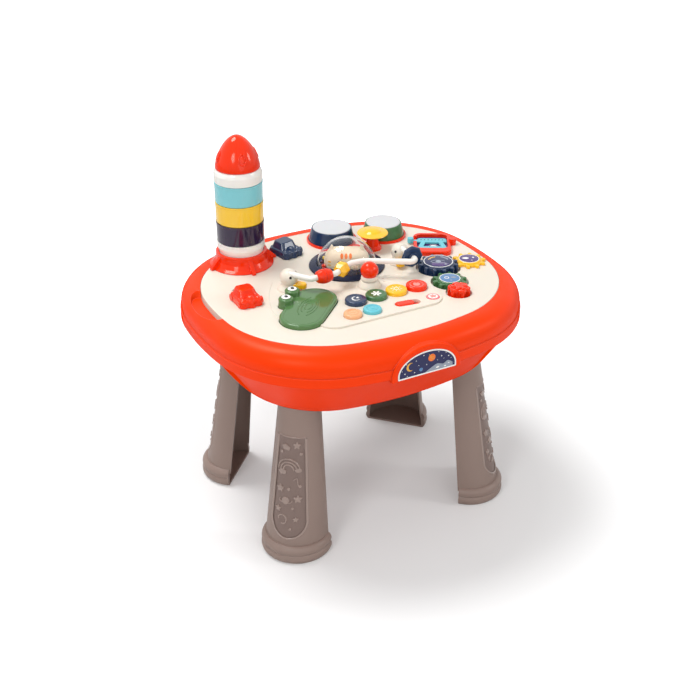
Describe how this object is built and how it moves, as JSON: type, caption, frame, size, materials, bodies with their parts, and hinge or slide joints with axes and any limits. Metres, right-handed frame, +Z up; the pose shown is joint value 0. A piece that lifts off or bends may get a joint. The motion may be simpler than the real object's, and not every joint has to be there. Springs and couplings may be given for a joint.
{
  "type": "activity table",
  "caption": "Child's activity table: a tub on hollow legs with a lift-off play unit of drums, turning dome, bead rail, gears, keys, sliding cars and stacking rocket.",
  "frame": {"origin": "on the floor under the middle of the table", "axes": "+Z up, X along the table's long side, the front with the picture plate faces -Y"},
  "size_m": [0.4528, 0.4044, 0.514],
  "materials": {
    "orange": "glossy moulded plastic",
    "cream": "glossy moulded plastic",
    "taupe": "glossy moulded plastic",
    "navy": "glossy moulded plastic",
    "frog_green": "glossy moulded plastic",
    "gear_green": "glossy moulded plastic",
    "yellow": "glossy moulded plastic",
    "peach": "glossy moulded plastic",
    "light_blue": "glossy moulded plastic",
    "purple": "glossy moulded plastic",
    "cup_yellow": "glossy moulded plastic",
    "cup_blue": "glossy moulded plastic",
    "white": "glossy moulded plastic",
    "red": "glossy moulded plastic",
    "steel": "satin",
    "board_green": "satin",
    "grey_rubber": "satin",
    "dark": "satin",
    "pink": "glossy moulded plastic",
    "clear": "clear moulded plastic",
    "night_print": "satin",
    "picture_print": "satin"
  },
  "bodies": {
    "table": {"lower_bowl": "orange", "upper_rim": "orange", "front_plate": "night_print", "leg_front_left": "taupe", "leg_front_right": "taupe", "leg_back_left": "taupe", "leg_back_right": "taupe"},
    "play_unit": {"play_panel": "cream", "panel_underside": "cream", "circuit_board": "board_green", "key_mat": "grey_rubber", "loudspeaker": "dark", "battery_door": "cream", "batteries": "steel", "housing_screws": "steel", "rocket_base": "red", "drum_bezel": "orange", "drum_shell_left": "navy", "drum_shell_right": "gear_green", "bead_rail": "white", "rail_ducks": "cream", "duck_beaks": "yellow", "joystick_boot": "cream", "star_lens": "pink", "slider_frame": "orange", "picture_card": "picture_print"},
    "dome": {"dome_base": "navy", "clear_dome": "clear", "cat_figure": "cream", "dome_beads": "red"},
    "frog": {"frog_key": "frog_green", "frog_eyes": "white"},
    "cup_white_lower": {"cup_white_lower": "white"},
    "cup_purple": {"cup_purple": "purple"},
    "cup_yellow": {"cup_yellow": "cup_yellow"},
    "cup_blue": {"cup_blue": "cup_blue"},
    "cup_white_upper": {"cup_white_upper": "white"},
    "nose_cone": {"nose_cone": "red"},
    "drum_head_left": {"drum_head_left": "white"},
    "drum_head_right": {"drum_head_right": "white"},
    "cymbal": {"cymbal": "yellow"},
    "bead_orange": {"bead_orange": "orange"},
    "bead_yellow": {"bead_yellow": "yellow"},
    "bead_navy": {"bead_navy": "navy"},
    "joystick_gimbal": {"joystick_gimbal": "dark"},
    "joystick": {"joystick": "orange"},
    "button_navy": {"button_navy": "navy"},
    "button_green": {"button_green": "gear_green"},
    "button_yellow": {"button_yellow": "yellow"},
    "button_red": {"button_red": "red"},
    "button_peach": {"button_peach": "peach"},
    "button_blue": {"button_blue": "light_blue"},
    "power_switch": {"power_switch": "orange"},
    "gear_navy": {"gear_navy": "navy"},
    "gear_green": {"gear_green": "gear_green"},
    "gear_yellow": {"gear_yellow": "yellow"},
    "gear_flower": {"gear_flower": "orange"},
    "car_orange": {"car_orange": "orange"},
    "car_navy": {"car_navy": "navy"},
    "slider_shutter": {"slider_shutter": "light_blue"}
  },
  "joints": [
    {"name": "panel_lift", "type": "slide", "parent": "table", "child": "play_unit", "axis": [0, 0, 1], "range_m": [0, 0.08]},
    {"name": "cup_white_lower_lift", "type": "slide", "parent": "play_unit", "child": "cup_white_lower", "axis": [0, 0, 1], "range_m": [0, 0.04]},
    {"name": "cup_purple_lift", "type": "slide", "parent": "cup_white_lower", "child": "cup_purple", "axis": [0, 0, 1], "range_m": [0, 0.04]},
    {"name": "cup_yellow_lift", "type": "slide", "parent": "cup_purple", "child": "cup_yellow", "axis": [0, 0, 1], "range_m": [0, 0.04]},
    {"name": "cup_blue_lift", "type": "slide", "parent": "cup_yellow", "child": "cup_blue", "axis": [0, 0, 1], "range_m": [0, 0.04]},
    {"name": "cup_white_upper_lift", "type": "slide", "parent": "cup_blue", "child": "cup_white_upper", "axis": [0, 0, 1], "range_m": [0, 0.04]},
    {"name": "nose_cone_lift", "type": "slide", "parent": "cup_white_upper", "child": "nose_cone", "axis": [0, 0, 1], "range_m": [0, 0.04]},
    {"name": "drum_left_press", "type": "slide", "parent": "play_unit", "child": "drum_head_left", "axis": [0, 0, -1], "range_m": [0, 0.002], "stiffness_N_per_m": 1500, "springref_m": -0.001},
    {"name": "drum_right_press", "type": "slide", "parent": "play_unit", "child": "drum_head_right", "axis": [0, 0, -1], "range_m": [0, 0.002], "stiffness_N_per_m": 1500, "springref_m": -0.001},
    {"name": "cymbal_spin", "type": "hinge", "parent": "play_unit", "child": "cymbal", "pos_m": [0.077, 0.075, 0.3275], "axis": [0, 0, 1], "continuous": true},
    {"name": "dome_spin", "type": "hinge", "parent": "play_unit", "child": "dome", "pos_m": [0.0165, 0.041, 0.3275], "axis": [0, 0, 1], "continuous": true},
    {"name": "bead_orange_spin", "type": "hinge", "parent": "play_unit", "child": "bead_orange", "pos_m": [-0.04948, -0.01754, 0.351], "axis": [0.9997, -0.0263, 0], "continuous": true},
    {"name": "bead_yellow_spin", "type": "hinge", "parent": "play_unit", "child": "bead_yellow", "pos_m": [-0.01856, -0.01002, 0.351], "axis": [0.8599, 0.5105, 0], "continuous": true},
    {"name": "bead_navy_spin", "type": "hinge", "parent": "play_unit", "child": "bead_navy", "pos_m": [0.08508, -0.02064, 0.351], "axis": [0.0587, 0.9983, 0], "continuous": true},
    {"name": "joystick_side_tilt", "type": "hinge", "parent": "play_unit", "child": "joystick_gimbal", "pos_m": [0.0128, -0.03, 0.325], "axis": [1, 0, 0], "range_deg": [-12, 12], "stiffness_Nm_per_rad": 0.08},
    {"name": "joystick_fore_tilt", "type": "hinge", "parent": "joystick_gimbal", "child": "joystick", "pos_m": [0.0128, -0.03, 0.325], "axis": [0, 1, 0], "range_deg": [-12, 12], "stiffness_Nm_per_rad": 0.08},
    {"name": "button_navy_press", "type": "slide", "parent": "play_unit", "child": "button_navy", "axis": [0, 0, -1], "range_m": [0, 0.0025], "stiffness_N_per_m": 600, "springref_m": -0.0015},
    {"name": "button_green_press", "type": "slide", "parent": "play_unit", "child": "button_green", "axis": [0, 0, -1], "range_m": [0, 0.0025], "stiffness_N_per_m": 600, "springref_m": -0.0015},
    {"name": "button_yellow_press", "type": "slide", "parent": "play_unit", "child": "button_yellow", "axis": [0, 0, -1], "range_m": [0, 0.0025], "stiffness_N_per_m": 600, "springref_m": -0.0015},
    {"name": "button_red_press", "type": "slide", "parent": "play_unit", "child": "button_red", "axis": [0, 0, -1], "range_m": [0, 0.0025], "stiffness_N_per_m": 600, "springref_m": -0.0015},
    {"name": "button_peach_press", "type": "slide", "parent": "play_unit", "child": "button_peach", "axis": [0, 0, -1], "range_m": [0, 0.0025], "stiffness_N_per_m": 600, "springref_m": -0.0015},
    {"name": "button_blue_press", "type": "slide", "parent": "play_unit", "child": "button_blue", "axis": [0, 0, -1], "range_m": [0, 0.0025], "stiffness_N_per_m": 600, "springref_m": -0.0015},
    {"name": "frog_press", "type": "slide", "parent": "play_unit", "child": "frog", "axis": [0, 0, -1], "range_m": [0, 0.0025], "stiffness_N_per_m": 900, "springref_m": -0.002},
    {"name": "power_slide", "type": "slide", "parent": "play_unit", "child": "power_switch", "axis": [0.9903, -0.1392, 0], "range_m": [0, 0.008]},
    {"name": "gear_navy_spin", "type": "hinge", "parent": "play_unit", "child": "gear_navy", "pos_m": [0.1255, -0.0251, 0.3275], "axis": [0, 0, 1], "continuous": true},
    {"name": "gear_green_spin", "type": "hinge", "parent": "play_unit", "child": "gear_green", "pos_m": [0.11494, -0.07159, 0.3275], "axis": [0, 0, 1], "continuous": true},
    {"name": "gear_yellow_spin", "type": "hinge", "parent": "play_unit", "child": "gear_yellow", "pos_m": [0.17282, -0.03091, 0.3275], "axis": [0, 0, 1], "continuous": true},
    {"name": "gear_flower_spin", "type": "hinge", "parent": "play_unit", "child": "gear_flower", "pos_m": [0.10773, -0.1055, 0.3275], "axis": [0, 0, 1], "continuous": true},
    {"name": "car_orange_slide", "type": "slide", "parent": "play_unit", "child": "car_orange", "axis": [0, 1, 0], "range_m": [0, 0.034]},
    {"name": "car_navy_slide", "type": "slide", "parent": "play_unit", "child": "car_navy", "axis": [-0.225, 0.9744, 0], "range_m": [0, 0.021]},
    {"name": "shutter_slide", "type": "slide", "parent": "play_unit", "child": "slider_shutter", "axis": [0.5, 0.866, 0], "range_m": [0, 0.009]}
  ],
  "couplings": [
    {"joint": "gear_green_spin", "follows": "gear_navy_spin", "ratio": -1.2},
    {"joint": "gear_yellow_spin", "follows": "gear_navy_spin", "ratio": -1.2},
    {"joint": "gear_flower_spin", "follows": "gear_navy_spin", "ratio": 2}
  ]
}
